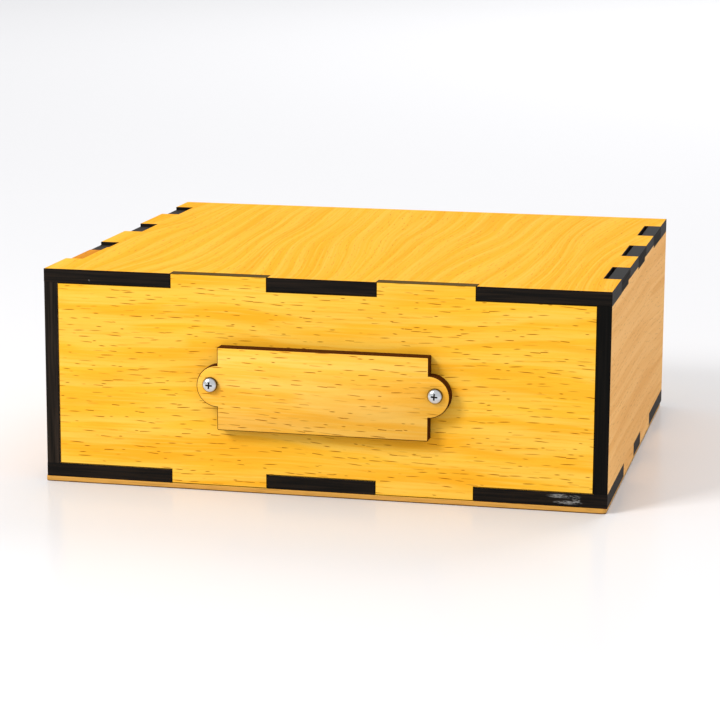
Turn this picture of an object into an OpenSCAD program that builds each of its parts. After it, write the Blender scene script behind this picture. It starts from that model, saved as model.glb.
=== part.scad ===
// Finger-jointed wooden puzzle box: a carcass of flat boards, a drawer whose front
// passes for a fixed panel, and a hidden key finger that works the drawer's latch.
// Origin: centre of the base sheet's underside. Front is -Y, up is +Z. Millimetres.

/* [Box] */
// Outside width of the box, left to right
box_w = 206; // [170:1:280]
// Outside depth of the box, front to back
box_d = 183; // [175:1:260]
// Height from the bottom panel's underside to the top face
box_h = 77; // [60:1:120]
// Thickness of the board that the box is cut from
board_t = 5; // [4:0.1:6]
// Thickness of the thin sheet under the box
base_t = 2; // [1:0.1:4]
// How far the base sheet stands out past the left panel
base_lip = 0.7; // [0:0.1:2]
// How far the base sheet stops short of the right panel's outer face
base_set_in = 0.4; // [0:0.1:2]
// Corner radius of the base sheet
base_corner_r = 1.5; // [0.5:0.1:4]

/* [Finger joints] */
// Width of each tab on the front and back panels
front_tab_w = 35.4; // [20:0.1:45]
// Distance between the two tabs of the front and back panels
front_tab_gap = 40; // [20:0.5:55]
// Length of each lower tab on the side panels
side_tab_l = 32; // [15:0.5:40]
// Distance between the two lower tabs of a side panel
side_tab_gap = 22; // [12:0.5:40]
// Length of each upper tab on the right panel
right_tab_l = 26.5; // [12:0.5:30]
// Distance from the front face to the right panel's first upper tab
right_tab_start = 27.3; // [15:0.1:32]
// Distance from one upper tab to the next on the right panel
right_tab_pitch = 53.3; // [40:0.1:54]
// Length of each upper tab on the left panel
left_tab_l = 21; // [16:0.5:24]
// Distance from the front face to the left panel's first upper tab, which the key's slot shortens
left_tab_start = 44.5; // [40:0.5:48]
// Distance from one upper tab to the next on the left panel
left_tab_pitch = 50.4; // [40:0.2:53]
// How far the left panel's upper tabs stop short of the top face
left_tab_drop = 1.2; // [0:0.1:2]
// Height of the right panel's two low tabs, housed in the top panel's lower edge
low_tab_h = 1.3; // [0.5:0.1:2]
// Extra depth of the right slots and the key's slot in the top panel, behind each tab
slot_relief = 1.5; // [0:0.1:2]
// Extra depth of the left slots in the top panel, behind each tab
left_slot_relief = 2.2; // [0:0.1:2.5]

/* [Key] */
// Distance from the front face to the key finger's slot
key_slot_start = 24.3; // [20:0.1:30]
// Length of the key finger's slot, front to back
key_slot_l = 28.7; // [22:0.1:30]
// Gap around the key finger
key_gap = 0.4; // [0.3:0.05:0.8]
// How far the key finger lies below the top face when it is level
key_sink = 1; // [0.9:0.1:1.6]
// Angle that the key tips through, from level (unlocked) to raised at its front end (locked)
key_tip = 2.6; // [2:0.1:3]
// Length of the bridge between the key finger and the latch arm, front to back
bridge_l = 12; // [8:0.5:14]
// Distance from the key's slot to the pivot pin
pivot_back = 3.5; // [2.5:0.1:6]
// Distance from the pivot pin to the hook
hook_reach = 56.5; // [50:0.5:64]
// Length of the hook, front to back
hook_l = 6; // [4:0.5:10]
// How far the unlocked hook clears the drawer's side
hook_clear = 0.5; // [0.3:0.1:1]
// Gap before and behind the hook in the drawer's notch
hook_gap = 1; // [0.6:0.1:2]
// Depth of the drawer's notch under the locked hook
notch_spare = 1.6; // [1:0.1:3]
// Diameter of the pivot pin
pin_d = 2; // [1.5:0.1:3]
// Radial clearance of the pin in the latch arm
pin_clearance = 0.05; // [0.02:0.01:0.1]
// How deep the pivot pin is set in the left panel
pin_seat = 3; // [1.5:0.1:3.5]
// Length of the pivot block, front to back
pivot_block_l = 15; // [10:0.5:20]

/* [Drawer] */
// Sliding gap around the drawer's front and under the drawer
slide_gap = 0.2; // [0.1:0.05:0.4]
// Gap between the drawer's sides and the side panels
drawer_side_gap = 0.5; // [0.3:0.1:1]
// Gap between the drawer's back and the back panel
drawer_back_gap = 2; // [1:0.5:6]
// Thickness of the drawer's floor
drawer_floor_t = 3; // [2:0.1:5]
// Length of each tab that joins a drawer side to the floor
drawer_tab_l = 30; // [15:1:40]
// Height of the tabs at the drawer's corners
corner_tab_h = 18; // [10:1:24]

/* [Nameplate] */
// Width of the nameplate without its ears
plate_w = 76.8; // [50:0.2:100]
// Height of the nameplate
plate_h = 30.2; // [20:0.2:40]
// Thickness of the nameplate
plate_t = 5; // [3:0.1:6]
// Corner radius of the nameplate
plate_corner_r = 0.5; // [0.3:0.1:3]
// Radius of the two round ears
ear_r = 7.6; // [6:0.1:10]
// Height of the ears' centres above the nameplate's centre
ear_rise = 0.9; // [0:0.1:2]
// Height of the screws above the ears' centres
screw_rise = 0.6; // [0:0.1:2]
// Distance between the two screws
screw_spacing = 81.7; // [54:0.1:105]
// Sideways place of the nameplate's centre
plate_x = 1.5; // [-4:0.1:4]
// Height of the nameplate's centre above the base sheet's underside
plate_z = 38.9; // [30:0.1:50]

/* [Screws] */
// Diameter of the screws' thread
screw_d = 3; // [2.5:0.5:4]
// Length of the screws under the head
screw_l = 20; // [18:1:25]
// Diameter of the pan head
head_d = 5.6; // [5:0.1:8]
// Height of the pan head
head_h = 2.4; // [1.8:0.1:3.5]
// Radius of the pan head's domed shoulder
head_round = 1.5; // [0.8:0.1:1.7]
// Radial clearance of the screw in the boards
screw_clearance = 0.1; // [0.05:0.05:0.3]
// Radial gap between the screw and its nut
thread_gap = 0.02; // [0.01:0.01:0.05]
// Across-flats size of the nuts
nut_af = 5.5; // [5:0.5:8]
// Height of the nuts
nut_h = 2.4; // [2:0.1:4]
// Diameter of the washers
washer_d = 7; // [6.5:0.5:10]
// Thickness of the washers
washer_t = 0.5; // [0.3:0.1:1]

/* [Hidden] */

// Overshoot that lets a cut leave the board cleanly
cut = 1;
// Segments of a round edge
round_fn = 64;

wood = "#f2bf4b";
wood_pale = "#dfb27c";
wood_key = "#cf8f2c";
steel = "#c9ccd0";

// The carcass: outer faces, and the inner faces of its boards
x_out = box_w / 2;
y_front = -box_d / 2;
y_back = box_d / 2;
z_bottom = base_t;
z_top = base_t + box_h;
x_in = x_out - board_t;
z_floor = z_bottom + board_t;
z_ceiling = z_top - board_t;
y_back_in = y_back - board_t;
y_panel_in = y_front + board_t;

// Tabs: [from, to] along the board
front_tabs = [for (side = [-1, 1])
    let (middle = side * (front_tab_gap + front_tab_w) / 2)
    [middle - front_tab_w / 2, middle + front_tab_w / 2]];
side_tabs = [for (side = [-1, 1])
    let (middle = side * (side_tab_gap + side_tab_l) / 2)
    [middle - side_tab_l / 2, middle + side_tab_l / 2]];
right_tabs = [for (i = [0 : 2])
    let (start = y_front + right_tab_start + i * right_tab_pitch)
    [start, start + right_tab_l]];
key_slot_y = [y_front + key_slot_start, y_front + key_slot_start + key_slot_l];
left_tabs = [for (i = [0 : 2])
    let (start = y_front + left_tab_start + i * left_tab_pitch)
    [max(start, key_slot_y[1]), start + left_tab_l]];

// The key is drawn level. Its pivot lies along X, just behind its slot, and its rear end
// moves back a little as its front end rises
key_y = [key_slot_y[0] + key_gap, key_slot_y[1] - 3 * key_gap];
finger_top = z_top - key_sink;
finger_under = finger_top - board_t;
bridge_under = finger_under - board_t;
arm_under = bridge_under - board_t;
pivot_y = key_slot_y[1] + pivot_back;
pivot_z = arm_under + board_t / 2;
finger_x = [-x_out, -x_in + slot_relief - key_gap];
arm_x = [-x_in + drawer_side_gap, -x_in + drawer_side_gap + board_t];
hook_y = [pivot_y + hook_reach, pivot_y + hook_reach + hook_l];
bridge_y = [key_y[1] - bridge_l, key_y[1]];
arm_y = [bridge_y[0], hook_y[1]];
hook_drop = (hook_y[1] - pivot_y) * sin(key_tip);

// The drawer: outside faces of its box
drawer_x = x_in - drawer_side_gap;
drawer_y = [y_panel_in, y_back_in - drawer_back_gap];
drawer_under = z_floor + slide_gap;
side_under = drawer_under + drawer_floor_t;
drawer_top = arm_under - hook_drop - 2 * key_gap;
hook_tip = drawer_top + hook_clear;
notch_floor = hook_tip - hook_drop - notch_spare;
corner_tab_z = [(side_under + drawer_top - corner_tab_h) / 2, (side_under + drawer_top + corner_tab_h) / 2];
drawer_middle_y = (drawer_y[0] + drawer_y[1]) / 2;
drawer_tab_middles = [for (side = [-1, 1]) drawer_middle_y + side * (drawer_y[1] - drawer_y[0]) / 4];

// The pivot block and its pin
block_x = [arm_x[1] + drawer_side_gap, arm_x[1] + drawer_side_gap + board_t];
block_under = pivot_z - 2 * pin_d;
pin_x = [-x_in - pin_seat, block_x[1]];

// The stack that the screws hold: nameplate, front panel, drawer's inner front, washer, nut
plate_front = y_front - plate_t;
inner_front_back = drawer_y[0] + board_t;
screw_x = [for (side = [-1, 1]) plate_x + side * screw_spacing / 2];
screw_z = plate_z + ear_rise + screw_rise;

// A block between two opposite corners
module block(low, high) {
    translate(low) cube(high - low);
}

// A flat outline with rounded corners, centred on the origin
module rounded_outline(w, h, r) {
    square([w - 2 * r, h], center = true);
    square([w, h - 2 * r], center = true);
    for (x = [-1, 1], y = [-1, 1])
        translate([x * (w / 2 - r), y * (h / 2 - r)]) circle(r, $fn = round_fn);
}

// Slots for the front panel's sliding tabs, through a flat panel
module front_slots(z_low, z_high) {
    for (tab = front_tabs)
        block([tab[0] - slide_gap, y_front - cut, z_low - cut],
            [tab[1] + slide_gap, y_panel_in + slide_gap, z_high + cut]);
}

module top_panel() color(wood) difference() {
    block([-x_out, y_front, z_ceiling], [x_out, y_back, z_top]);
    front_slots(z_ceiling, z_top);
    for (tab = right_tabs)
        block([x_in - slot_relief, tab[0], z_ceiling - cut], [x_out + cut, tab[1], z_top + cut]);
    for (tab = side_tabs)
        block([x_in, tab[0], z_ceiling - cut], [x_out + cut, tab[1], z_ceiling + low_tab_h]);
    for (tab = left_tabs)
        block([-x_out - cut, tab[0], z_ceiling - cut], [-x_in + left_slot_relief, tab[1], z_top + cut]);
    block([-x_out - cut, key_slot_y[0], z_ceiling - cut],
        [-x_in + slot_relief, key_slot_y[1] + cut, z_top + cut]);
}

module bottom_panel() color(wood) difference() {
    block([-x_out, y_front, z_bottom], [x_out, y_back, z_floor]);
    front_slots(z_bottom, z_floor);
    for (tab = front_tabs)
        block([tab[0], y_back_in, z_bottom - cut], [tab[1], y_back + cut, z_floor + cut]);
    for (tab = side_tabs, x = [-x_out - cut, x_in])
        block([x, tab[0], z_bottom - cut], [x + board_t + cut, tab[1], z_floor + cut]);
}

// A side panel at x >= 0, with upper tabs at the places and up to the height given
module side_panel(upper_tabs, tab_top) {
    block([x_in, y_front, z_floor], [x_out, y_back, z_ceiling]);
    for (tab = side_tabs)
        block([x_in, tab[0], z_bottom], [x_out, tab[1], z_floor]);
    for (tab = upper_tabs)
        block([x_in, tab[0], z_ceiling], [x_out, tab[1], tab_top]);
}

// The right panel also has two low tabs, above its lower ones
module right_panel() color(wood_pale) {
    side_panel(right_tabs, z_top);
    for (tab = side_tabs)
        block([x_in, tab[0], z_ceiling], [x_out, tab[1], z_ceiling + low_tab_h]);
}

// The left panel is cut away for the key finger, and deeper for its bridge. A blind hole
// takes the pivot pin
module left_panel() color(wood_pale) difference() {
    mirror([1, 0, 0]) side_panel(left_tabs, z_top - left_tab_drop);
    block([-x_out - cut, key_slot_y[0], finger_under - 2 * key_gap],
        [-x_in + cut, key_slot_y[1], z_ceiling + cut]);
    block([-x_out - cut, bridge_y[0] - 2 * key_gap, bridge_under - 2 * key_gap],
        [-x_in + cut, key_slot_y[1], z_ceiling + cut]);
    translate([-x_in - pin_seat, pivot_y, pivot_z]) rotate([0, 90, 0])
        cylinder(h = pin_seat + cut, d = pin_d, $fn = round_fn);
}

// The back panel has tabs below only: the top's rear edge is plain
module back_panel() color(wood) {
    block([-x_in, y_back_in, z_floor], [x_in, y_back, z_ceiling]);
    for (tab = front_tabs)
        block([tab[0], y_back_in, z_bottom], [tab[1], y_back, z_floor]);
}

module base_sheet() color(wood)
    translate([-(base_lip + base_set_in) / 2, 0, 0])
        linear_extrude(base_t) rounded_outline(box_w + base_lip - base_set_in, box_d, base_corner_r);

module pivot_block() color(wood) difference() {
    block([block_x[0], pivot_y - pivot_block_l / 2, block_under],
        [block_x[1], pivot_y + pivot_block_l / 2, z_ceiling]);
    translate([block_x[0] - cut, pivot_y, pivot_z]) rotate([0, 90, 0])
        cylinder(h = board_t + 2 * cut, d = pin_d, $fn = round_fn);
}

module pivot_pin() color(steel)
    translate([pin_x[0], pivot_y, pivot_z]) rotate([0, 90, 0])
        cylinder(h = pin_x[1] - pin_x[0], d = pin_d, $fn = round_fn);

module key_finger() color(wood_key)
    block([finger_x[0], key_y[0], finger_under], [finger_x[1], key_y[1], finger_top]);

module key_bridge() color(wood_key)
    block([finger_x[0], bridge_y[0], bridge_under], [arm_x[1], bridge_y[1], finger_under]);

module latch_arm() color(wood_key) difference() {
    union() {
        block([arm_x[0], arm_y[0], arm_under], [arm_x[1], arm_y[1], bridge_under]);
        block([arm_x[0], hook_y[0], hook_tip], [arm_x[1], hook_y[1], bridge_under]);
    }
    translate([arm_x[0] - cut, pivot_y, pivot_z]) rotate([0, 90, 0])
        cylinder(h = board_t + 2 * cut, r = pin_d / 2 + pin_clearance, $fn = round_fn);
}

// Holes for the nameplate's screws, from one face to another
module screw_holes(y_low, y_high, r) {
    for (x = screw_x)
        translate([x, y_low, screw_z]) rotate([-90, 0, 0])
            cylinder(h = y_high - y_low, r = r, $fn = round_fn);
}

// The drawer's front: its tabs slide out of the slots in the top and bottom panels
module front_panel() color(wood) difference() {
    union() {
        block([-x_in + slide_gap, y_front, z_floor + slide_gap],
            [x_in - slide_gap, y_panel_in, z_ceiling - slide_gap]);
        for (tab = front_tabs)
            block([tab[0], y_front, z_bottom + slide_gap], [tab[1], y_panel_in, z_top]);
    }
    screw_holes(y_front - cut, y_panel_in + cut, screw_d / 2 + screw_clearance);
}

module drawer_inner_front() color(wood) difference() {
    union() {
        block([-drawer_x + board_t, drawer_y[0], side_under],
            [drawer_x - board_t, inner_front_back, drawer_top]);
        block([-drawer_x, drawer_y[0], corner_tab_z[0]], [drawer_x, inner_front_back, corner_tab_z[1]]);
    }
    screw_holes(drawer_y[0] - cut, inner_front_back + cut, screw_d / 2 + screw_clearance);
}

module drawer_back() color(wood) {
    block([-drawer_x + board_t, drawer_y[1] - board_t, side_under],
        [drawer_x - board_t, drawer_y[1], drawer_top]);
    block([-drawer_x, drawer_y[1] - board_t, corner_tab_z[0]], [drawer_x, drawer_y[1], corner_tab_z[1]]);
}

// The drawer's side at x >= 0, with slots for the corner tabs and tabs into the floor
module drawer_side() {
    difference() {
        block([drawer_x - board_t, drawer_y[0], side_under], [drawer_x, drawer_y[1], drawer_top]);
        for (y = [drawer_y[0] - cut, drawer_y[1] - board_t])
            block([drawer_x - board_t - cut, y, corner_tab_z[0]],
                [drawer_x + cut, y + board_t + cut, corner_tab_z[1]]);
    }
    for (middle = drawer_tab_middles)
        block([drawer_x - board_t, middle - drawer_tab_l / 2, drawer_under],
            [drawer_x, middle + drawer_tab_l / 2, side_under]);
}

module drawer_right_side() color(wood) drawer_side();

// The left side has a notch in its upper edge, where the hook drops in
module drawer_left_side() color(wood) difference() {
    mirror([1, 0, 0]) drawer_side();
    block([-drawer_x - cut, hook_y[0] - hook_gap, notch_floor],
        [-drawer_x + board_t + cut, hook_y[1] + hook_gap, drawer_top + cut]);
}

module drawer_floor() color(wood) difference() {
    block([-drawer_x, drawer_y[0], drawer_under], [drawer_x, drawer_y[1], side_under]);
    for (middle = drawer_tab_middles, x = [-drawer_x - cut, drawer_x - board_t])
        block([x, middle - drawer_tab_l / 2, drawer_under - cut],
            [x + board_t + cut, middle + drawer_tab_l / 2, side_under + cut]);
}

module nameplate() color(wood) difference() {
    translate([plate_x, y_front, plate_z]) rotate([90, 0, 0]) linear_extrude(plate_t) {
        rounded_outline(plate_w, plate_h, plate_corner_r);
        for (side = [-1, 1])
            translate([side * plate_w / 2, ear_rise]) circle(ear_r, $fn = round_fn);
    }
    screw_holes(plate_front - cut, y_front + cut, screw_d / 2 + screw_clearance);
}

// Outline of half a pan-head screw, from its axis outwards, with the head above zero
module screw_outline() {
    translate([0, -screw_l]) square([screw_d / 2, screw_l]);
    square([head_d / 2, head_h - head_round]);
    square([head_d / 2 - head_round, head_h]);
    intersection() {
        translate([head_d / 2 - head_round, head_h - head_round]) circle(head_round, $fn = round_fn);
        square([head_d / 2, head_h]);
    }
}

module nameplate_screws() color(steel) {
    recess_w = head_d / 6;
    recess_l = head_d * 0.55;
    recess_depth = head_h * 0.55;
    for (x = screw_x)
        translate([x, plate_front, screw_z]) rotate([90, 0, 0]) difference() {
            rotate_extrude($fn = round_fn) screw_outline();
            translate([0, 0, head_h - recess_depth / 2 + cut / 2]) {
                cube([recess_l, recess_w, recess_depth + cut], center = true);
                cube([recess_w, recess_l, recess_depth + cut], center = true);
            }
        }
}

module nameplate_washers() color(steel)
    for (x = screw_x)
        translate([x, inner_front_back, screw_z]) rotate([-90, 0, 0]) difference() {
            cylinder(h = washer_t, d = washer_d, $fn = round_fn);
            translate([0, 0, -cut])
                cylinder(h = washer_t + 2 * cut, r = screw_d / 2 + screw_clearance, $fn = round_fn);
        }

module nameplate_nuts() color(steel)
    for (x = screw_x)
        translate([x, inner_front_back + washer_t, screw_z]) rotate([-90, 0, 0]) difference() {
            cylinder(h = nut_h, d = nut_af / cos(30), $fn = 6);
            translate([0, 0, -cut])
                cylinder(h = nut_h + 2 * cut, r = screw_d / 2 + thread_gap, $fn = round_fn);
        }

top_panel();
bottom_panel();
left_panel();
right_panel();
back_panel();
base_sheet();
pivot_block();
pivot_pin();
key_finger();
key_bridge();
latch_arm();
front_panel();
drawer_inner_front();
drawer_left_side();
drawer_right_side();
drawer_back();
drawer_floor();
nameplate();
nameplate_screws();
nameplate_washers();
nameplate_nuts();
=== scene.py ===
import math

import bmesh
import bpy
from mathutils import Matrix, Vector


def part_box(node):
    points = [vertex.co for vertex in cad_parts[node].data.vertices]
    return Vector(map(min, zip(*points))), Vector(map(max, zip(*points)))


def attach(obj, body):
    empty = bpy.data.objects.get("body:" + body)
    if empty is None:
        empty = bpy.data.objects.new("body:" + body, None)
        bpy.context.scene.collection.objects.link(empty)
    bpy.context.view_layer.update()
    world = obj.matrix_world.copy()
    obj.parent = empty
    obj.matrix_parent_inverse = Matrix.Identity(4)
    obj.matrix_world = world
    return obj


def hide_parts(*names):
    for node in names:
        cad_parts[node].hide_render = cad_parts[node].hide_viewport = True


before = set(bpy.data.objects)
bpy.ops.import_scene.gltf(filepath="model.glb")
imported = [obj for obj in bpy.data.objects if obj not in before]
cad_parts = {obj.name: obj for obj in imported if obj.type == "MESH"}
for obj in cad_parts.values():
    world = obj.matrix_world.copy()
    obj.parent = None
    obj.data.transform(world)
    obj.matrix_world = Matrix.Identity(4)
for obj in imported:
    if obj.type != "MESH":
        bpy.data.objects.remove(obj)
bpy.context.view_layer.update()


# --- Studio -------------------------------------------------------------------------------
# A white tabletop that runs far back, a white room, a softbox at the front left and one far behind.
# The tabletop is smooth laminate, and the box leaves a faint reflection in it.

def linear(hex_colour):
    """An sRGB hex colour, such as "#f2bf4b", as linear RGBA."""
    parts = [int(hex_colour[i:i + 2], 16) / 255 for i in (1, 3, 5)]
    return [p / 12.92 if p <= 0.04045 else ((p + 0.055) / 1.055) ** 2.4 for p in parts] + [1]


def add_node(tree, kind, inputs=None, **settings):
    """Adds a node with its settings and returns its outputs. An input is a value or a socket to link."""
    made = tree.nodes.new(kind)
    for name, value in settings.items():
        setattr(made, name, value)
    for socket, given in (inputs or {}).items():
        if isinstance(given, bpy.types.NodeSocket):
            tree.links.new(given, made.inputs[socket])
        else:
            made.inputs[socket].default_value = given
    return made.outputs


def new_material(name):
    """An empty node material and its tree."""
    material = bpy.data.materials.new(name)
    material.use_nodes = True
    material.node_tree.nodes.clear()
    return material, material.node_tree


def piece_from(mesh, name, *materials):
    """A finished object at the origin from a bmesh that already lies in place."""
    data = bpy.data.meshes.new(name)
    mesh.to_mesh(data)
    mesh.free()
    for material in materials:
        data.materials.append(material)
    made = bpy.data.objects.new(name, data)
    bpy.context.scene.collection.objects.link(made)
    return made


def aimed(item, place, target, roll=0.0):
    """Puts a camera or light at a place and points it at a target."""
    made = bpy.data.objects.new(item.name, item)
    bpy.context.scene.collection.objects.link(made)
    turn = (Vector(target) - Vector(place)).to_track_quat("-Z", "Y").to_matrix().to_4x4()
    made.matrix_world = Matrix.Translation(place) @ turn @ Matrix.Rotation(roll, 4, "Z")
    return made


def softbox(name, place, target, size, power, colour):
    """A square area light."""
    light = bpy.data.lights.new(name, "AREA")
    light.size = size
    light.energy = power
    light.color = linear(colour)[:3]
    aimed(light, place, target)


# White laminate: smooth, so it shows a soft reflection near the box.
laminate, tree = new_material("white laminate tabletop")
gloss = add_node(tree, "ShaderNodeBsdfPrincipled", {
    "Base Color": linear("#e3e3e5"), "Roughness": 0.2, "Specular IOR Level": 0.03})[0]
add_node(tree, "ShaderNodeOutputMaterial", {"Surface": gloss})
table_size = 14.0
mesh = bmesh.new()
bmesh.ops.create_grid(mesh, x_segments=1, y_segments=1, size=table_size / 2)
piece_from(mesh, "tabletop", laminate)

world = bpy.data.worlds.new("white room")
world.use_nodes = True
bpy.context.scene.world = world
room = world.node_tree.nodes["Background"].inputs
room["Color"].default_value = linear("#fbfbfc")
room["Strength"].default_value = 0.82
bpy.context.scene.view_settings.view_transform = "Standard"

softbox("key softbox", place=(-0.80, -1.00, 0.95), target=(0, 0, 0.03), size=0.5, power=16,
        colour="#fffdfa")
softbox("back softbox", place=(0.7, 2.4, 1.8), target=(0.3, 1.9, 0), size=1.8, power=40,
        colour="#ffffff")

lens = bpy.data.cameras.new("camera")
lens.sensor_width = 36
lens.lens = 125.6
lens.clip_end = 40
bpy.context.scene.camera = aimed(
    lens, place=(0.2031, -0.9409, 0.2259), target=(0.0142, -0.0915, 0.0509), roll=math.radians(0.289))


# --- Top panel ----------------------------------------------------------------------------
# The lid of the carcass: 5 mm board with a printed beech face, laser cut, so every edge is
# burnt black. Slots along its edges take the side panels' tabs, which are glued in, and the
# drawer front's tabs, which slide out.

MM = 0.001


def beech(name, along, across, colours, offset, stretch=1.0, sway=3 * MM, ring_pitch=11 * MM,
          pore_share=0.9):
    """Printed, lacquered beech: amber growth rings along the grain, fine fibre and short brown pores.

    along and across are the axes with and across the fibres. colours are the pale, golden and amber
    wood. stretch lengthens the bands and fibres, and sway is how far the fibres wander. ring_pitch
    is the width of a growth ring, and pore_share how dark the darkest pores are. The lacquer is
    thin and dull, so it takes nothing away from the colour.
    """
    sway_length, sway_width = 90 * MM * stretch ** 0.5, 70 * MM
    band_length, band_width = 70 * MM * stretch, 7 * MM
    fibre_length, fibre_width = 26 * MM * stretch, 0.9 * MM
    ring_wander, ring_share = 3.2, 0.5
    pore_room = (4.7 * MM, 2.4 * MM)
    pore_length, pore_width, pore_depth = 2.3 * MM, 0.19 * MM, 0.05 * MM
    pale, golden, amber = (linear(colour) for colour in colours)
    material, tree = new_material(name)

    # The board's own plane: along the fibres, then across them
    where = add_node(tree, "ShaderNodeTexCoord")["Object"]
    part = add_node(tree, "ShaderNodeSeparateXYZ", {0: where})
    plane = add_node(tree, "ShaderNodeCombineXYZ", {0: part[along], 1: part[across]})[0]
    plane = add_node(tree, "ShaderNodeVectorMath", {0: plane, 1: offset}, operation="ADD")[0]

    def drawn_out(source, length, width, detail):
        """A pattern drawn out along the fibres: the place is squeezed, then read from noise."""
        spread = (1 / length, 1 / width, 1)
        spot = add_node(tree, "ShaderNodeVectorMath", {0: source, 1: spread}, operation="MULTIPLY")[0]
        return add_node(tree, "ShaderNodeTexNoise", {"Vector": spot, "Scale": 1, "Detail": detail})["Fac"]

    # The fibres sway across the board as they run along it
    drift = drawn_out(plane, sway_length, sway_width, 1)
    push = add_node(tree, "ShaderNodeMath", {0: drift, 1: 0.5}, operation="SUBTRACT")[0]
    push = add_node(tree, "ShaderNodeMath", {0: push, 1: sway * 2}, operation="MULTIPLY")[0]
    push = add_node(tree, "ShaderNodeCombineXYZ", {1: push})[0]
    fibres = add_node(tree, "ShaderNodeVectorMath", {0: plane, 1: push}, operation="ADD")[0]
    across_fibres = add_node(tree, "ShaderNodeSeparateXYZ", {0: fibres})[1]

    # Broad soft bands of golden and amber wood
    bands = drawn_out(fibres, band_length, band_width, 2)
    bands = add_node(tree, "ShaderNodeMapRange", {
        "Value": bands, "From Min": 0.36, "From Max": 0.66, "To Max": 0.7},
        interpolation_type="SMOOTHSTEP")[0]
    colour = add_node(tree, "ShaderNodeMix", {0: bands, 6: golden, 7: amber}, data_type="RGBA")[2]

    # Growth rings, unevenly spaced: each is a pale line that fades slowly
    uneven = drawn_out(fibres, band_length * 1.5, band_width * 2.5, 2)
    uneven = add_node(tree, "ShaderNodeMath", {0: uneven, 1: ring_wander}, operation="MULTIPLY")[0]
    turns = add_node(tree, "ShaderNodeMath", {0: across_fibres, 1: ring_pitch}, operation="DIVIDE")[0]
    turns = add_node(tree, "ShaderNodeMath", {0: turns, 1: uneven}, operation="ADD")[0]
    turns = add_node(tree, "ShaderNodeMath", {0: turns}, operation="FRACT")[0]
    start = add_node(tree, "ShaderNodeMapRange", {
        "Value": turns, "From Max": 0.16}, interpolation_type="SMOOTHSTEP")[0]
    fade = add_node(tree, "ShaderNodeMapRange", {
        "Value": turns, "From Min": 0.85, "From Max": 0.25}, interpolation_type="SMOOTHSTEP")[0]
    rings = add_node(tree, "ShaderNodeMath", {0: start, 1: fade}, operation="MULTIPLY")[0]
    rings = add_node(tree, "ShaderNodeMath", {0: rings, 1: ring_share}, operation="MULTIPLY")[0]
    colour = add_node(tree, "ShaderNodeMix", {0: rings, 6: colour, 7: pale}, data_type="RGBA")[2]

    # Pale patches, then amber and pale fibres
    patches = drawn_out(fibres, band_length * 0.6, band_width * 0.9, 1)
    fine = drawn_out(fibres, fibre_length, fibre_width, 3)
    for pattern, low, high, share, wood in (
            (patches, 0.52, 0.7, 0.4, pale), (fine, 0.5, 0.7, 0.5, amber), (fine, 0.48, 0.3, 0.4, pale)):
        shown = add_node(tree, "ShaderNodeMapRange", {
            "Value": pattern, "From Min": low, "From Max": high, "To Max": share},
            interpolation_type="SMOOTHSTEP")[0]
        colour = add_node(tree, "ShaderNodeMix", {0: shown, 6: colour, 7: wood}, data_type="RGBA")[2]

    # Pores: one short dash in each cell, of its own tilt, length and darkness
    spread = (1 / pore_room[0], 1 / pore_room[1], 0)
    cells = add_node(tree, "ShaderNodeVectorMath", {0: fibres, 1: spread}, operation="MULTIPLY")[0]
    cell = add_node(tree, "ShaderNodeTexVoronoi", {"Vector": cells, "Scale": 1}, voronoi_dimensions="2D")
    chance = add_node(tree, "ShaderNodeSeparateColor", {0: cell["Color"]})
    tilt, length, darkness = (
        add_node(tree, "ShaderNodeMapRange", {
            "Value": drawn, "From Min": low, "To Min": least, "To Max": most},
            interpolation_type="SMOOTHSTEP")[0]
        for drawn, low, least, most in (
            (chance[0], 0, -0.5, 0.8), (chance[1], 0, 0.35, 1.5), (chance[2], 0.1, 0.05, pore_share)))
    off = add_node(tree, "ShaderNodeVectorMath", {0: cells, 1: cell["Position"]}, operation="SUBTRACT")[0]
    spread = (pore_room[0] / pore_length, pore_room[1] / pore_width, 0)
    off = add_node(tree, "ShaderNodeVectorMath", {0: off, 1: spread}, operation="MULTIPLY")[0]
    off = add_node(tree, "ShaderNodeSeparateXYZ", {0: off})
    lean = add_node(tree, "ShaderNodeMath", {0: off[0], 1: tilt}, operation="MULTIPLY")[0]
    rise = add_node(tree, "ShaderNodeMath", {0: off[1], 1: lean}, operation="ADD")[0]
    run = add_node(tree, "ShaderNodeMath", {0: off[0], 1: length}, operation="DIVIDE")[0]
    reach = add_node(tree, "ShaderNodeCombineXYZ", {0: run, 1: rise})[0]
    reach = add_node(tree, "ShaderNodeVectorMath", {0: reach}, operation="LENGTH")["Value"]
    dash = add_node(tree, "ShaderNodeMapRange", {
        "Value": reach, "From Min": 1.25, "From Max": 0.35}, interpolation_type="SMOOTHSTEP")[0]
    pores = add_node(tree, "ShaderNodeMath", {0: dash, 1: darkness}, operation="MULTIPLY")[0]
    colour = add_node(tree, "ShaderNodeMix", {
        0: pores, 6: colour, 7: linear("#8a4a00")}, data_type="RGBA")[2]

    dents = add_node(tree, "ShaderNodeBump", {"Height": pores, "Strength": 0.3, "Distance": -pore_depth})[0]
    dull = add_node(tree, "ShaderNodeMapRange", {
        "Value": fine, "From Min": 0.2, "From Max": 0.8, "To Min": 0.55, "To Max": 0.7},
        interpolation_type="SMOOTHSTEP")[0]
    shader = add_node(tree, "ShaderNodeBsdfPrincipled", {
        "Base Color": colour, "Roughness": dull, "Normal": dents, "Specular IOR Level": 0.015})[0]
    add_node(tree, "ShaderNodeOutputMaterial", {"Surface": shader})
    return material


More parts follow.
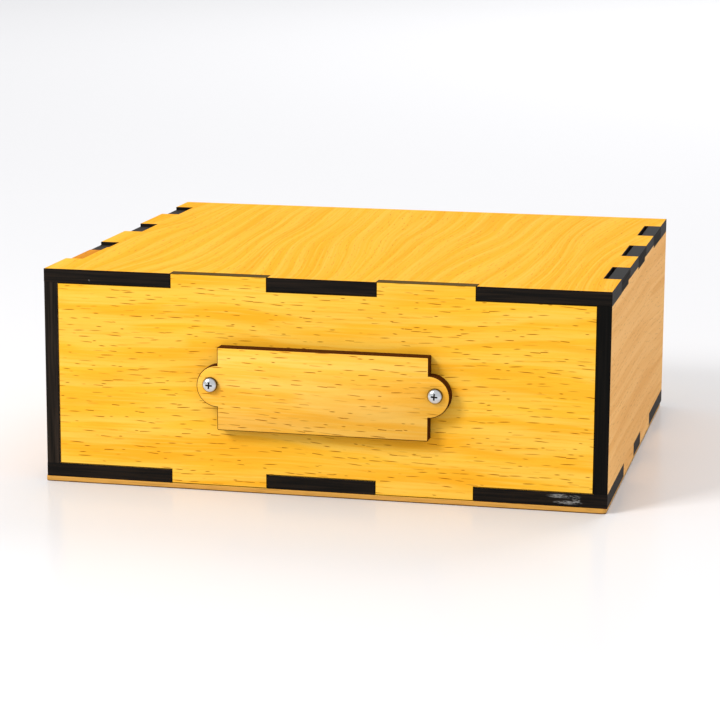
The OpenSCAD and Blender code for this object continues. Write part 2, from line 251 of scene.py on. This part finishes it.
def charred(name, thickness, char="#0c0a08", brown="#2b2119", scuffs=(), sheen=0.08):
    """Laser-burnt board edge: near-black char, with faint brown lines where the plies show.

    thickness is the axis across the plies. char and brown are the burnt wood and the lines in it.
    A scuff is a place and a size, rubbed to pale grey. sheen is how much the char shines.
    """
    ply, run = 0.8 * MM, 30 * MM
    scratch_width, scratch_length = 0.6 * MM, 2.5 * MM
    material, tree = new_material(name)
    where = add_node(tree, "ShaderNodeTexCoord")["Object"]
    spread = [1 / (ply if axis == thickness else run) for axis in "XYZ"]
    drawn = add_node(tree, "ShaderNodeVectorMath", {0: where, 1: spread}, operation="MULTIPLY")[0]
    plies = add_node(tree, "ShaderNodeTexNoise", {"Vector": drawn, "Scale": 1, "Detail": 4})["Fac"]
    lines = add_node(tree, "ShaderNodeMapRange", {
        "Value": plies, "From Min": 0.42, "From Max": 0.78, "To Max": 0.8})[0]
    colour = add_node(tree, "ShaderNodeMix", {
        0: lines, 6: linear(char), 7: linear(brown)}, data_type="RGBA")[2]
    if scuffs:
        spread = [1 / (scratch_width if axis == thickness else scratch_length) for axis in "XYZ"]
        drawn = add_node(tree, "ShaderNodeVectorMath", {0: where, 1: spread}, operation="MULTIPLY")[0]
        scratches = add_node(tree, "ShaderNodeTexNoise", {
            "Vector": drawn, "Scale": 1, "Detail": 3, "Roughness": 0.7})["Fac"]
        scratches = add_node(tree, "ShaderNodeMapRange", {
            "Value": scratches, "From Min": 0.44, "From Max": 0.6, "To Max": 0.6})[0]
    for place, size in scuffs:
        near = add_node(tree, "ShaderNodeMapping", {
            "Vector": where, "Location": [-p / s for p, s in zip(place, size)],
            "Scale": [1 / s for s in size]})[0]
        reach = add_node(tree, "ShaderNodeVectorMath", {0: near}, operation="LENGTH")["Value"]
        inside = add_node(tree, "ShaderNodeMapRange", {"Value": reach, "From Min": 1.0, "From Max": 0.55})[0]
        rubbed = add_node(tree, "ShaderNodeMath", {0: scratches, 1: inside}, operation="MULTIPLY")[0]
        colour = add_node(tree, "ShaderNodeMix", {
            0: rubbed, 6: colour, 7: linear("#a5a6a4")}, data_type="RGBA")[2]
    shader = add_node(tree, "ShaderNodeBsdfPrincipled", {
        "Base Color": colour, "Roughness": 0.6, "Specular IOR Level": sheen})[0]
    add_node(tree, "ShaderNodeOutputMaterial", {"Surface": shader})
    return material


# A facet is part of a board's printed face when its normal is this close to the board's own.
FACE_ON = 0.9


def board(node, body, thickness, face, edge, arris=0.15 * MM):
    """A board in its node's outline: flat faces, burnt edges, and the arris between them just eased."""
    axis = "XYZ".index(thickness)
    mesh = bmesh.new()
    mesh.from_mesh(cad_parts[node].data)
    bmesh.ops.remove_doubles(mesh, verts=mesh.verts, dist=0.005 * MM)
    bmesh.ops.dissolve_limit(mesh, angle_limit=math.radians(1), verts=mesh.verts, edges=mesh.edges)

    def is_face(polygon):
        return abs(polygon.normal[axis]) > FACE_ON

    rims = [e for e in mesh.edges if len({is_face(f) for f in e.link_faces}) == 2]
    bmesh.ops.bevel(mesh, geom=rims, affect="EDGES", offset=arris, segments=2, profile=0.5, material=-1)
    for polygon in mesh.faces:
        polygon.material_index = 0 if is_face(polygon) else 1
    piece = piece_from(mesh, node + "_board", face, edge)
    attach(piece, body)
    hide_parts(node)


burnt_flat = charred("laser-charred edge, flat panels", "Z", scuffs=[
    ((87.5 * MM, -91.5 * MM, 5.7 * MM), (6.5 * MM, 2 * MM, 0.9 * MM)),
    ((89 * MM, -91.5 * MM, 3.5 * MM), (5.5 * MM, 2 * MM, 0.8 * MM)),
    ((92 * MM, -91.5 * MM, 4.6 * MM), (1.6 * MM, 2 * MM, 1.8 * MM)),
    ((-85.8 * MM, -91.5 * MM, 75.2 * MM), (0.5 * MM, 2 * MM, 0.5 * MM))])
# Painted shade: the top's colours are a little darker and more orange than the front's golden beech, to
# offset the stronger light that falls on the top.
shaded_top_beech = ("#f4bb46", "#eeaa25", "#eb9f1e")
top_face = beech("printed beech, top", "Y", "X", shaded_top_beech, (0.31, 0.12, 0),
                 stretch=4, sway=22 * MM, ring_pitch=8 * MM, pore_share=0.4)
board("top_panel", "carcass", "Z", top_face, burnt_flat)


# --- Bottom panel -------------------------------------------------------------------------
# The floor of the carcass: the same board as the top, laser cut, with slots at the front, back
# and sides. The side and back panels are glued into it.

golden_beech = ("#f4c554", "#f1b632", "#eda422")
bottom_face = beech("printed beech, bottom", "X", "Y", golden_beech, (0.9, 0.4, 0))
board("bottom_panel", "carcass", "Z", bottom_face, burnt_flat)


# --- Base sheet ---------------------------------------------------------------------------
# A 2 mm sheet of plywood glued under the bottom panel. It was sawn and not burnt, so its edge
# is pale wood with the plies just showing.

def pale_edge(name):
    """Clean-cut thin plywood edge: warm yellow, a little streaked, with painted shade along its lowest half
    millimetre, where it stands on the tabletop.
    """
    streak_length, streak_height = 9 * MM, 0.7 * MM
    shade_top, shade_full = 0.5 * MM, 0.3 * MM
    material, tree = new_material(name)
    where = add_node(tree, "ShaderNodeTexCoord")["Object"]
    spread = (1 / streak_length, 1 / streak_length, 1 / streak_height)
    drawn = add_node(tree, "ShaderNodeVectorMath", {0: where, 1: spread}, operation="MULTIPLY")[0]
    streaks = add_node(tree, "ShaderNodeTexNoise", {"Vector": drawn, "Scale": 1, "Detail": 2})["Fac"]
    streaks = add_node(tree, "ShaderNodeMapRange", {
        "Value": streaks, "From Min": 0.5, "From Max": 0.8, "To Max": 0.6})[0]
    colour = add_node(tree, "ShaderNodeMix", {
        0: streaks, 6: linear("#cd9744"), 7: linear("#926121")}, data_type="RGBA")[2]
    # Painted shade: the edge darkens over its lowest half millimetre, where it meets the tabletop.
    height = add_node(tree, "ShaderNodeSeparateXYZ", {0: where})["Z"]
    contact_shade = add_node(tree, "ShaderNodeMapRange", {
        "Value": height, "From Min": shade_top, "From Max": shade_full})[0]
    colour = add_node(tree, "ShaderNodeMix", {
        0: contact_shade, 6: colour, 7: linear("#4a2f12")}, data_type="RGBA")[2]
    shader = add_node(tree, "ShaderNodeBsdfPrincipled", {
        "Base Color": colour, "Roughness": 0.6, "Specular IOR Level": 0.2})[0]
    add_node(tree, "ShaderNodeOutputMaterial", {"Surface": shader})
    return material


sheet_edge = pale_edge("clean-cut thin plywood edge")
board("base_sheet", "carcass", "Z", bottom_face, sheet_edge, arris=0.3 * MM)


# --- Side panels --------------------------------------------------------------------------
# The left and right walls, glued between top and bottom by their tabs. The outer ends of the
# right panel's upper tabs are inked black, so the joint reads as one dark line.

def inked_above(name, wood, start, tab_middle, tab_reach, tab_start):
    """The side's beech with black ink above the height start.

    On the two low tabs it begins at tab_start. They lie tab_middle before and behind the centre, and
    reach tab_reach each way from there.
    """
    material = wood.copy()
    material.name = name
    tree = material.node_tree
    shader = next(n for n in tree.nodes if n.type == "BSDF_PRINCIPLED")
    colour = shader.inputs["Base Color"].links[0].from_socket
    where = add_node(tree, "ShaderNodeTexCoord")["Object"]
    part = add_node(tree, "ShaderNodeSeparateXYZ", {0: where})
    away = add_node(tree, "ShaderNodeMath", {0: part["Y"]}, operation="ABSOLUTE")[0]
    away = add_node(tree, "ShaderNodeMath", {0: away, 1: tab_middle}, operation="SUBTRACT")[0]
    away = add_node(tree, "ShaderNodeMath", {0: away}, operation="ABSOLUTE")[0]
    on_tab = add_node(tree, "ShaderNodeMath", {0: away, 1: tab_reach}, operation="LESS_THAN")[0]
    line = add_node(tree, "ShaderNodeMapRange", {"Value": on_tab, "To Min": start, "To Max": tab_start})[0]
    ink = add_node(tree, "ShaderNodeMath", {0: part["Z"], 1: line}, operation="GREATER_THAN")[0]
    colour = add_node(tree, "ShaderNodeMix", {
        0: ink, 6: colour, 7: linear("#1d1916")}, data_type="RGBA")[2]
    tree.links.new(colour, shader.inputs["Base Color"])
    return material


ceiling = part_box("top_panel")[0].z
burnt_side = charred("laser-charred edge, left panel and drawer", "X", "#120e0a", "#3a2f26")
# Painted sheen: the sides' beech is paler and less saturated than the front's, standing in for the white
# room's grazing reflection on the shaded right face.
sheened_side_beech = ("#f8c580", "#f0b76f", "#e8aa61")
side_face = beech("printed beech, sides", "Y", "Z", sheened_side_beech, (0.05, 0.77, 0),
                  stretch=3, sway=8 * MM, ring_pitch=9 * MM, pore_share=0.4)
low_tab_middle, low_tab_reach, low_tab_height = 27 * MM, 16 * MM, 1.3 * MM
right_face = inked_above("printed beech, right side, inked joint", side_face, ceiling,
                         low_tab_middle, low_tab_reach, ceiling + low_tab_height)
board("left_panel", "carcass", "X", side_face, burnt_side)
burnt_right = charred("laser-charred edge, right panel", "X", "#030302", "#14100c")
board("right_panel", "carcass", "X", right_face, burnt_right)


# --- Back panel ---------------------------------------------------------------------------
# Closes the back: the same printed board, laser cut. Two tabs go down into the bottom panel,
# and its other edges are glued to the faces of the panels round it.

burnt_upright = charred("laser-charred edge, upright panels", "Y")
back_face = beech("printed beech, back", "X", "Z", golden_beech, (0.63, 0.21, 0))
board("back_panel", "carcass", "Y", back_face, burnt_upright)


# --- Drawer front -------------------------------------------------------------------------
# The front panel is the drawer's false front, of printed board. Its two tabs above and two
# below slide out of open slots in the top and bottom panels. Their burnt ends are browner.

front_face = beech("printed beech, front", "X", "Z", golden_beech, (0.17, 0.52, 0))
burnt_front = charred("laser-charred edge, front panel", "Y", "#4e3b0e", "#695016", sheen=0.02)
board("front_panel", "drawer", "Y", front_face, burnt_front)


# --- Drawer box ---------------------------------------------------------------------------
# Four walls and a floor of plain board with no print on it, finger jointed and glued. The left
# wall has a notch in its upper edge for the latch hook.

bare_beech = ("#ecca96", "#e3ba80", "#d8a868")
drawer_face = beech("bare board, drawer", "X", "Z", bare_beech, (0.4, 0.9, 0))
drawer_side_face = beech("bare board, drawer sides", "Y", "Z", bare_beech, (0.2, 0.3, 0))
drawer_floor_face = beech("bare board, drawer floor", "X", "Y", bare_beech, (0.6, 0.1, 0))
for node in ("drawer_inner_front", "drawer_back"):
    board(node, "drawer", "Y", drawer_face, burnt_upright)
for node in ("drawer_left_side", "drawer_right_side"):
    board(node, "drawer", "X", drawer_side_face, burnt_side)
board("drawer_floor", "drawer", "Z", drawer_floor_face, burnt_flat)


# --- Nameplate ----------------------------------------------------------------------------
# A blank plate with a round ear at each end, cut from the same board as the front. Its edge is
# burnt dark brown. Two screws hold it, and it is the drawer's pull.

ear_radius, ear_rise, corner_radius, plate_arris = 7.6 * MM, 0.9 * MM, 0.5 * MM, 0.3 * MM
corner_steps, ear_steps = 8, 40
low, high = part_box("nameplate")
plate_middle = (low + high) / 2
half_w = (high.x - low.x) / 2 - ear_radius
half_h = (high.z - low.z) / 2


def arc(mesh, centre, start, turn, steps):
    """An arc of edges in the front plane, spun from start. Returns its first and last vertex."""
    first = mesh.verts.new(start)
    made = bmesh.ops.spin(mesh, geom=[first], cent=centre, axis=(0, -1, 0), angle=turn, steps=steps)
    return first, next(g for g in made["geom_last"] if isinstance(g, bmesh.types.BMVert))


mesh = bmesh.new()
ends = []
for side in (1, -1):
    # Anticlockwise from below: a lower corner, the ear, an upper corner, mirrored for the other side
    for kind in (-side, 0, side):
        if kind:
            centre = Vector((side * (half_w - corner_radius), 0, kind * (half_h - corner_radius)))
            reach = Vector((0, 0, kind)) if kind == -side else Vector((side, 0, 0))
            start = centre + reach * corner_radius
            ends.append(arc(mesh, centre, start, math.pi / 2, corner_steps))
        else:
            centre = Vector((side * half_w, 0, ear_rise))
            start = centre + Vector((0, 0, -side * ear_radius))
            ends.append(arc(mesh, centre, start, math.pi, ear_steps))
for (_, last), (first, _) in zip(ends, ends[1:] + ends[:1]):
    mesh.edges.new((last, first))
outline = bmesh.ops.contextual_create(mesh, geom=mesh.edges[:])["faces"]
grown = bmesh.ops.extrude_face_region(mesh, geom=outline)["geom"]
grown = [g for g in grown if isinstance(g, bmesh.types.BMVert)]
bmesh.ops.translate(mesh, verts=grown, vec=(0, low.y - high.y, 0))
bmesh.ops.translate(mesh, verts=mesh.verts, vec=(plate_middle.x, high.y, plate_middle.z))
bmesh.ops.recalc_face_normals(mesh, faces=mesh.faces)
rims = [e for e in mesh.edges if len({abs(f.normal.y) > FACE_ON for f in e.link_faces}) == 2]
bmesh.ops.bevel(mesh, geom=rims, affect="EDGES", offset=plate_arris, segments=1, profile=0.5, material=-1)
for polygon in mesh.faces:
    polygon.material_index = 0 if abs(polygon.normal.y) > FACE_ON else 1
    polygon.smooth = polygon.material_index == 1
plate_beech = ("#f4c664", "#f1b844", "#eda832")
plate_face = beech("printed beech, nameplate", "X", "Z", plate_beech, (0.71, 0.08, 0))
burnt_plate = charred("laser-charred edge, nameplate", "Y", "#431f07", "#57300c", sheen=0.02)
plate = piece_from(mesh, "nameplate_board", plate_face, burnt_plate)
plate.data.set_sharp_from_angle(angle=math.radians(50))
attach(plate, "drawer")
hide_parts("nameplate")


# --- Nameplate screws ---------------------------------------------------------------------
# Two M3 pan-head machine screws, cold-headed and zinc plated, each with a tapered cross recess.

def plated_steel(name, foot=1.0):
    """Bright zinc plate: mirror-like, a little soft, so it shows the room as broad pale patches.

    Painted shade darkens it round the foot of a head, which is at foot along Y. The usual foot
    lies far off, so that a plain part gets none of it.
    """
    grit, shade_from, shade_to = 0.35 * MM, 1.8 * MM, 1.2 * MM
    material, tree = new_material(name)
    where = add_node(tree, "ShaderNodeTexCoord")["Object"]
    dull = add_node(tree, "ShaderNodeTexNoise", {"Vector": where, "Scale": 1 / grit, "Detail": 2})["Fac"]
    dull = add_node(tree, "ShaderNodeMapRange", {"Value": dull, "To Min": 0.1, "To Max": 0.26})[0]
    # Painted shade: the zinc darkens towards the head's foot, where it meets the plate.
    depth = add_node(tree, "ShaderNodeSeparateXYZ", {0: where})["Y"]
    foot_shade = add_node(tree, "ShaderNodeMapRange", {
        "Value": depth, "From Min": foot - shade_from, "From Max": foot - shade_to})[0]
    colour = add_node(tree, "ShaderNodeMix", {
        0: foot_shade, 6: linear("#d5d8da"), 7: linear("#3a3631")}, data_type="RGBA")[2]
    shader = add_node(tree, "ShaderNodeBsdfPrincipled", {
        "Base Color": colour, "Roughness": dull, "Metallic": 1.0})[0]
    add_node(tree, "ShaderNodeOutputMaterial", {"Surface": shader})
    return material


zinc = plated_steel("bright zinc-plated steel")
head_radius, head_height, shank_radius = 2.8 * MM, 2.4 * MM, 1.5 * MM
head_under, tip_chamfer, tip_length = 0.1 * MM, 0.3 * MM, 0.4 * MM
rim_share, crown_power, crown_steps = 0.25, 0.75, 10
recess_length, recess_width, recess_depth = 3.4 * MM, 0.85 * MM, 1.5 * MM
recess_taper, recess_turn = 0.45, Matrix.Rotation(math.radians(4), 3, "Y")
low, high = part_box("nameplate_screws")
seat = low.y + head_height
screw_height = (low.z + high.z) / 2
head_zinc = plated_steel("bright zinc-plated steel, screws", seat)

mesh = bmesh.new()
cutter = bmesh.new()
for x in (low.x + head_radius, high.x - head_radius):
    centre = Vector((x, seat, screw_height))
    # Half the outline, from the tip of the shank to the crown of the head
    tip = high.y - seat
    outline = [(0, tip), (shank_radius - tip_chamfer, tip), (shank_radius, tip - tip_length),
               (shank_radius, 0), (head_radius - head_under, 0)]
    for step in range(crown_steps + 1):
        angle = step / crown_steps * math.pi / 2
        height = head_height * (rim_share + (1 - rim_share) * math.sin(angle))
        outline.append((head_radius * math.cos(angle) ** crown_power, -height))
    points = [mesh.verts.new(centre + Vector((r, y, 0))) for r, y in outline]
    lines = [mesh.edges.new(pair) for pair in zip(points, points[1:])]
    bmesh.ops.spin(mesh, geom=points + lines, cent=centre, axis=(0, 1, 0), angle=2 * math.pi,
                   steps=48, use_merge=True)
    for wide, tall in ((recess_length, recess_width), (recess_width, recess_length)):
        made = bmesh.ops.create_cube(cutter, size=1)["verts"]
        bmesh.ops.scale(cutter, verts=made, vec=(wide, recess_depth * 2, tall))
        deep = [v for v in made if v.co.y > 0]
        bmesh.ops.scale(cutter, verts=deep, vec=(recess_taper, 1, recess_taper))
        bmesh.ops.rotate(cutter, verts=made, cent=(0, 0, 0), matrix=recess_turn)
        bmesh.ops.translate(cutter, verts=made, vec=centre - Vector((0, head_height, 0)))
bmesh.ops.remove_doubles(mesh, verts=mesh.verts, dist=0.01 * MM)
bmesh.ops.recalc_face_normals(mesh, faces=mesh.faces)
screws = piece_from(mesh, "pan_head_screws", head_zinc)
recess = piece_from(cutter, "recess_cutter", head_zinc)
cut = screws.modifiers.new("cross recess", "BOOLEAN")
cut.object = recess
cut.operation = "DIFFERENCE"
cut.solver = "EXACT"
cut.use_self = True
ready = screws.evaluated_get(bpy.context.evaluated_depsgraph_get())
screws.data = bpy.data.meshes.new_from_object(ready)
screws.modifiers.clear()
bpy.data.objects.remove(recess)
screws.data.polygons.foreach_set("use_smooth", [True] * len(screws.data.polygons))
screws.data.set_sharp_from_angle(angle=math.radians(35))
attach(screws, "drawer")
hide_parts("nameplate_screws")


# --- Washers, nuts and pivot pin ----------------------------------------------------------
# Two washers and two nuts clamp the nameplate's screws behind the drawer's inner front, and a pin
# carries the key lever. They are plain pressed and turned steel, zinc plated like the screws.

for node in ("nameplate_washers", "nameplate_nuts", "pivot_pin"):
    steel_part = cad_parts[node]
    steel_part.data.materials.clear()
    steel_part.data.materials.append(zinc)


# --- Key and latch ------------------------------------------------------------------------
# The key finger is a strip of board in the left edge of the top, coloured a darker orange brown as painted
# shade where it sits below the top's face. A bridge under it passes through the side panel to the latch arm,
# which rocks on the pin.

# Painted shade: a darker copy of the beech for the key finger, which sits low in its notch; the latch arm
# takes the same colours.
shade_darkened = ("#d9902a", "#cd8016", "#bb700c")
key_face = beech("stained board, key", "Y", "X", shade_darkened, (0.5, 0.33, 0))
arm_face = beech("stained board, latch arm", "Y", "Z", shade_darkened, (0.3, 0.62, 0))
for node in ("key_finger", "key_bridge"):
    board(node, "key_lever", "Z", key_face, burnt_flat)
board("latch_arm", "key_lever", "X", arm_face, burnt_side)


# --- Pivot block --------------------------------------------------------------------------
# A small upright of the drawer's plain board, glued under the top panel. It holds the inner end
# of the pivot pin.

board("pivot_block", "carcass", "X", drawer_side_face, burnt_side)
